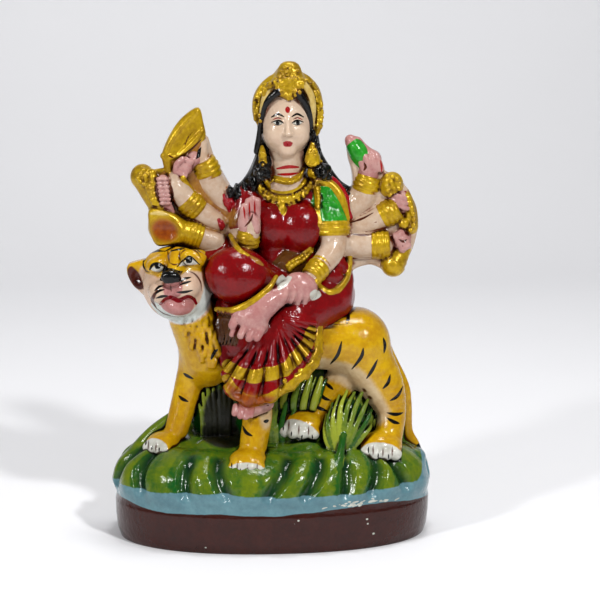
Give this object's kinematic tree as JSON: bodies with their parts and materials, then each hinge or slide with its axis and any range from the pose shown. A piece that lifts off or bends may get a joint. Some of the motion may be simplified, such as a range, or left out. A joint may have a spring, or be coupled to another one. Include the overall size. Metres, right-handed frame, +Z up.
{
  "type": "durga figure",
  "caption": "Painted plaster figure of a many-armed goddess seated on a striding tiger, cast in one with its oval rocky plinth.",
  "frame": {"origin": "centre of the plinth's outline, on its underside", "axes": "+Z up, -Y is the front that the figure and the tiger's face look to, +X is to the right of someone who looks at the front"},
  "size_m": [0.168, 0.09, 0.25],
  "materials": {
    "painted_plaster": "hand-painted cast plaster under glossy clear varnish"
  },
  "bodies": {
    "root": {"durga_figure": "painted_plaster"}
  },
  "joints": []
}
